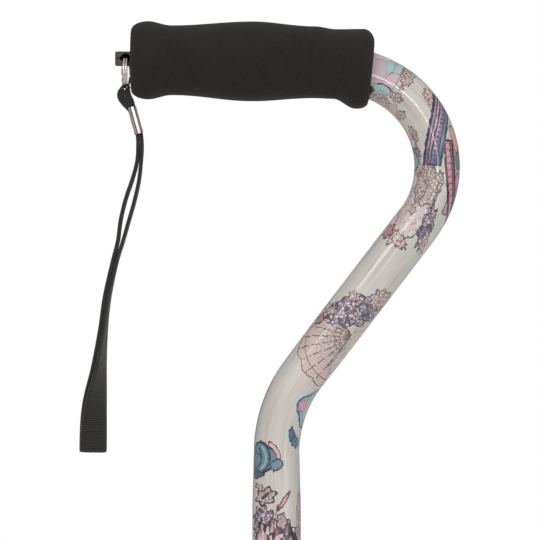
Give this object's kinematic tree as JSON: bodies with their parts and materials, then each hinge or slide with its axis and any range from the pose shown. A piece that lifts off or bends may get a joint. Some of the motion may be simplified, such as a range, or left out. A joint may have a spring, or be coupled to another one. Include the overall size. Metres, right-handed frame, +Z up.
{
  "type": "quad walking cane",
  "caption": "Height-adjustable walking cane with an offset foam-gripped handle, a wrist strap and a small reversible base on splayed legs with rubber tips.",
  "frame": {"origin": "centre of the footprint's bounding box, on the floor under the rubber tips", "axes": "+Z up along the shaft, +X towards the handle's front bend (the way the user walks), +Y towards the user's side, where the short legs are"},
  "size_m": [0.204, 0.152, 0.7879],
  "materials": {
    "printed_lacquer": "gloss",
    "foam": "matte",
    "black_plastic": "satin",
    "natural_nylon": "satin",
    "nickel_steel": "polished",
    "webbing": "matte",
    "anodised_tube": "satin",
    "spring_steel": "satin",
    "base_enamel": "satin",
    "black_rubber": "matte",
    "zinc_steel": "satin"
  },
  "bodies": {
    "base": {"base_plate": "base_enamel", "base_cup": "base_enamel", "leg_arch_front": "base_enamel", "leg_arch_rear": "base_enamel", "tip_near_front": "black_rubber", "tip_near_rear": "black_rubber", "tip_far_front": "black_rubber", "tip_far_rear": "black_rubber", "tip_washers": "zinc_steel", "hub_bolt": "zinc_steel", "hub_washer": "zinc_steel"},
    "stem": {"stem_insert": "anodised_tube", "lower_tube": "anodised_tube", "lower_tube_guide": "black_plastic", "snap_spring": "spring_steel"},
    "button": {"snap_button": "nickel_steel"},
    "handle": {"upper_tube": "printed_lacquer", "foam_grip": "foam", "handle_plug": "black_plastic", "collet_bushing": "black_plastic"},
    "wedge": {"wedge_ring": "natural_nylon"},
    "collar": {"lock_collar": "black_plastic"},
    "ring": {"split_ring": "nickel_steel"},
    "strap": {"strap_ferrule": "nickel_steel", "wrist_strap": "webbing"}
  },
  "joints": [
    {"name": "base_swivel", "type": "hinge", "parent": "base", "child": "stem", "pos_m": [0, 0.014, 0.1], "axis": [0, 0, 1], "range_deg": [0, 180]},
    {"name": "button_press", "type": "slide", "parent": "stem", "child": "button", "axis": [0, 1, 0], "range_m": [0, 0.004], "stiffness_N_per_m": 3000, "springref_m": -0.002, "deforming": ["snap_spring"]},
    {"name": "height_adjust", "type": "slide", "parent": "stem", "child": "handle", "axis": [0, 0, 1], "range_m": [0, 0.1524]},
    {"name": "collar_travel", "type": "slide", "parent": "handle", "child": "wedge", "axis": [0, 0, 1], "range_m": [-0.002, 0]},
    {"name": "collar_turn", "type": "hinge", "parent": "wedge", "child": "collar", "pos_m": [0, 0.014, 0.16], "axis": [0, 0, 1], "range_deg": [-360, 0]},
    {"name": "ring_swing", "type": "hinge", "parent": "handle", "child": "ring", "pos_m": [-0.0691, 0.014, 0.7709], "axis": [0, 1, 0], "range_deg": [0, 120]},
    {"name": "strap_swing", "type": "hinge", "parent": "ring", "child": "strap", "pos_m": [-0.0691, 0.014, 0.7578], "axis": [0, 1, 0], "range_deg": [-5, 60]}
  ],
  "couplings": [
    {"joint": "collar_travel", "follows": "collar_turn", "m_per_rad": 0.00031831}
  ]
}
